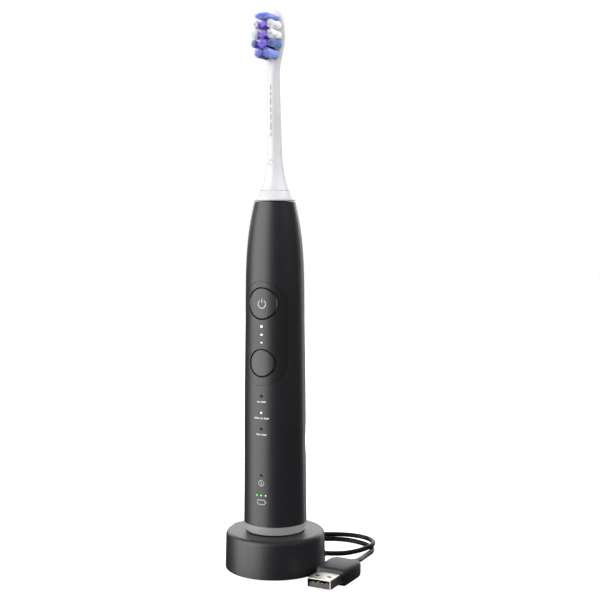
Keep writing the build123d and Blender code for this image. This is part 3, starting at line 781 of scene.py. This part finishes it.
neck_ink = moulded("neck_ink", (0.20, 0.20, 0.22), 0.5, grain=1800.0, depth=0.000002)
dash_top = 233.0
dash_width = 0.6
dash_gap = 1.1
neck_strokes = []
for dash in (2.4, 1.6, 3.2, 2.2, 2.8, 3.6, 1.8):
    neck_strokes.append(([(0, dash_top - dash), (0, dash_top)], dash_width, False))
    dash_top -= dash + dash_gap
neck_strokes.append((arc(0, 196.5, 1.2, 0, 300), 0.28, False))
neck_marks = printed("neck_marks", neck_strokes, neck_ink, surface=neck_front)
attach(neck_marks, "brush")


# ---- bristles --------------------------------------------------------------------
# Nylon filaments in oval tufts, 9.45 mm long, anchored in the paddle's front. Each colour
# is one set: blue rows at both ends, purple down the middle, white and teal at the sides.

bristle_tree = bpy.data.node_groups.new("bristles", "GeometryNodeTree")
bristle_tree.is_modifier = True
bristle_tree.interface.new_socket("Geometry", in_out="INPUT", socket_type="NodeSocketGeometry")
bristle_inputs = {}
for label, kind in (
    ("Length", "NodeSocketFloat"), ("Radius", "NodeSocketFloat"), ("Spacing", "NodeSocketFloat"),
    ("Lean", "NodeSocketFloat"), ("Seed", "NodeSocketInt"), ("Material", "NodeSocketMaterial"),
):
    socket = bristle_tree.interface.new_socket(label, in_out="INPUT", socket_type=kind)
    bristle_inputs[label] = socket.identifier
bristle_tree.interface.new_socket("Geometry", in_out="OUTPUT", socket_type="NodeSocketGeometry")


def tree_node(kind, inputs=None, **settings):
    """Adds a node to the bristles' tree, with its settings first and then its sockets."""
    node = bristle_tree.nodes.new(kind)
    for name, value in settings.items():
        setattr(node, name, value)
    for name, value in (inputs or {}).items():
        if isinstance(value, bpy.types.NodeSocket):
            bristle_tree.links.new(value, node.inputs[name])
        else:
            node.inputs[name].default_value = value
    return node


given = tree_node("NodeGroupInput").outputs
scatter = tree_node("GeometryNodeDistributePointsOnFaces", {
    "Mesh": given["Geometry"], "Distance Min": given["Spacing"], "Density Max": 6.0e7, "Seed": given["Seed"],
}, distribute_method="POISSON")
thin = tree_node("ShaderNodeMath", {0: given["Radius"], 1: 0.7}, operation="MULTIPLY")
filament = tree_node("GeometryNodeMeshCone", {
    "Vertices": 5, "Side Segments": 1, "Radius Bottom": given["Radius"], "Radius Top": thin.outputs[0],
    "Depth": given["Length"],
})
against = tree_node("ShaderNodeMath", {0: given["Lean"], 1: -1.0}, operation="MULTIPLY")
lean_low = tree_node("ShaderNodeCombineXYZ", {0: against.outputs[0], 1: against.outputs[0]})
lean_high = tree_node("ShaderNodeCombineXYZ", {0: given["Lean"], 1: given["Lean"]})
sway = tree_node("FunctionNodeRandomValue", {
    "Min": lean_low.outputs[0], "Max": lean_high.outputs[0], "Seed": given["Seed"],
}, data_type="FLOAT_VECTOR")
turned_by = tree_node("FunctionNodeRotateRotation", {
    "Rotation": scatter.outputs["Rotation"], "Rotate By": sway.outputs[0],
}, rotation_space="LOCAL")
trim = tree_node("FunctionNodeRandomValue", {
    "Min": (1, 1, 0.955), "Max": (1, 1, 1), "Seed": given["Seed"],
}, data_type="FLOAT_VECTOR")
planted = tree_node("GeometryNodeInstanceOnPoints", {
    "Points": scatter.outputs["Points"], "Instance": filament.outputs["Mesh"],
    "Rotation": turned_by.outputs[0], "Scale": trim.outputs[0],
})
realized = tree_node("GeometryNodeRealizeInstances", {"Geometry": planted.outputs[0]})
coloured = tree_node("GeometryNodeSetMaterial", {
    "Geometry": realized.outputs[0], "Material": given["Material"],
})
tree_node("NodeGroupOutput", {"Geometry": coloured.outputs[0]})

head_bottom = 243.2
root_place = -3.8           # just behind the paddle's front
filament_length = 9.45
patch_steps = 24
patch_inset = 0.2           # the filaments' own spread fills it
# a colour, and its tufts: across, above the head's bottom, half width and half height
bristle_sets = {
    "blue": ((0.27, 0.40, 0.98), ((0.0, 20.6, 4.4, 1.7), (-2.5, 3.5, 2.1, 2.2), (2.5, 3.5, 2.1, 2.2))),
    "purple": ((0.40, 0.25, 1.0), ((0.0, 16.7, 1.8, 1.7), (0.0, 12.3, 2.2, 2.0), (0.0, 7.8, 2.6, 2.1))),
    "white": ((0.95, 0.96, 0.98), (
        (-4.0, 16.8, 1.8, 2.1), (4.0, 16.8, 1.8, 2.1), (-4.2, 12.3, 1.9, 2.2), (4.2, 12.3, 1.9, 2.2),
    )),
    "teal": ((0.04, 0.20, 0.58), ((-4.5, 8.0, 1.6, 1.9), (4.5, 8.0, 1.6, 1.9))),
}
for seed, (colour_name, (colour, tufts)) in enumerate(bristle_sets.items()):
    name = "filaments_" + colour_name
    nylon_filament = Finish(
        name, colour, 0.32, coat_weight=0.3, subsurface_weight=0.15, subsurface_scale=0.002,
    )
    # Each filament is painted paler towards its tip and keeps its full colour at the root: a painted
    # highlight on the tufts' ends.
    along_tuft = nylon_filament.ramp(nylon_filament.axis("Y"), -0.0133, -0.0041)
    tip_highlight_colour = tuple(0.85 * part + 0.15 for part in colour)
    nylon_filament.vary("Base Color", nylon_filament.blend(along_tuft, tip_highlight_colour, colour))
    roots, patches = [], []
    for across, rise, half_width, half_height in tufts:
        start = len(roots)
        for step in range(patch_steps):
            turn = 2 * math.pi * step / patch_steps
            x = across + (half_width - patch_inset) * math.cos(turn)
            z = head_bottom + rise + (half_height - patch_inset) * math.sin(turn)
            roots.append((x * MM, root_place * MM, z * MM))
        patches.append(tuple(range(start, start + patch_steps)))
    base = bpy.data.meshes.new(name + "_roots")
    base.from_pydata(roots, [], patches)
    base.update()
    grower = bpy.data.objects.new(name + "_roots", base)
    bpy.context.scene.collection.objects.link(grower)
    modifier = grower.modifiers.new("bristles", "NODES")
    modifier.node_group = bristle_tree
    chosen = {
        "Length": filament_length * MM, "Radius": 0.085 * MM, "Spacing": 0.15 * MM, "Lean": math.radians(2.4),
        "Seed": seed + 3, "Material": nylon_filament.material,
    }
    for label, value in chosen.items():
        modifier[bristle_inputs[label]] = value
    bpy.context.view_layer.update()
    grown = bpy.data.meshes.new_from_object(grower.evaluated_get(bpy.context.evaluated_depsgraph_get()))
    bpy.data.objects.remove(grower)
    bristles = bpy.data.objects.new(name, grown)
    bpy.context.scene.collection.objects.link(bristles)
    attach(bristles, "brush")
    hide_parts("bristles_" + colour_name)


# ---- plug ------------------------------------------------------------------------
# A USB-A plug: a folded tin-plated steel shell with two latch windows, a black tongue
# with four gold contacts, an overmoulded grip and a ribbed boot round the cord.

plug_mouth = (35.0, -26.3)
plug_heading = math.radians(87.0)
plug_height = 3.95


def plug_point(along, across, up):
    """A point given from the plug's mouth, in millimetres."""
    c, s = math.cos(plug_heading), math.sin(plug_heading)
    return (plug_mouth[0] + along * c + across * s, plug_mouth[1] + along * s - across * c, plug_height + up)


grip_plastic = moulded("grip_plastic", (0.010, 0.010, 0.0105), 0.5)
boot_rubber = moulded("boot_rubber", (0.014, 0.014, 0.014), 0.45)
plug_steel = metal("plug_steel", (0.40, 0.39, 0.36), 0.34, metallic=0.95, stretch=(1, 0.05, 1))
contact_gold = metal("contact_gold", (0.36, 0.25, 0.09), 0.35)
grip_start, grip_end = 11.8, 32.3
grip_half_width, grip_half_height = 8.1, 3.9
grip_corner = 2.2
front_edge = ((0, 1.3), (0.08, 1.05), (1.1, 0.12), (1.4, 0.0))    # along the grip, and how far in
rear_length, rear_sides_in, rear_top_in = 6.0, 4.6, 1.5           # the rounded rear end
rear_steps = 8
grip_levels = [(grip_start + along, inset, inset) for along, inset in front_edge]
for step in range(rear_steps + 1):
    turn = math.radians(90 * step / rear_steps)
    along = grip_end - rear_length * (1 - math.sin(turn))
    inwards = 1 - math.cos(turn)
    grip_levels.append((along, rear_sides_in * inwards, rear_top_in * inwards))
grip_rings = [[plug_point(grip_start, 0, 0)]]
for along, side_inset, top_inset in grip_levels:
    wide, high = grip_half_width - side_inset, grip_half_height - top_inset
    corner = grip_corner - 0.6 * top_inset
    corners = [(x * wide, y * high, corner) for x, y in ((1, 1), (-1, 1), (-1, -1), (1, -1))]
    grip_rings.append([plug_point(along, across, up) for across, up in rounded(corners, 7)])
grip_rings.append([plug_point(grip_end, 0, 0)])
plug_grip = skinned("plug_grip", grip_rings, grip_plastic)
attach(plug_grip, "charger")
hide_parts("usb_grip")

boot_start, boot_end = grip_end - 0.6, grip_end + 5.0
boot_radius = 2.3
boot_narrowing = 0.17       # from one rib to the next
rib_start, rib_pitch = grip_end + 0.3, 1.05
rib_outline = ((0, 0), (0.6, 0.08), (0.68, 0.4), (0.98, 0.42))    # along a rib, and how far in
boot_levels = [(boot_start, boot_radius), (rib_start, boot_radius)]
for rib in range(4):
    start, radius = rib_start + rib_pitch * rib, boot_radius - boot_narrowing * rib
    boot_levels += [(start + along, radius - inset) for along, inset in rib_outline]
boot_levels += [(boot_end - 0.5, 1.6), (boot_end, 1.45)]
boot_rings = [[plug_point(boot_start, 0, 0)]]
for along, radius in boot_levels:
    boot_rings.append([plug_point(along, across, up) for across, up, _ in circle(radius, 0, 32)])
boot_rings.append([plug_point(boot_end, 0, 0)])
plug_boot = skinned("plug_boot", boot_rings, boot_rubber)
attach(plug_boot, "charger")
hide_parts("usb_boot")
dress(plug_steel, "usb_shell")
dress(switch_black, "usb_tongue")
dress(contact_gold, "usb_contacts")
dress(boot_rubber, "cord_tie")
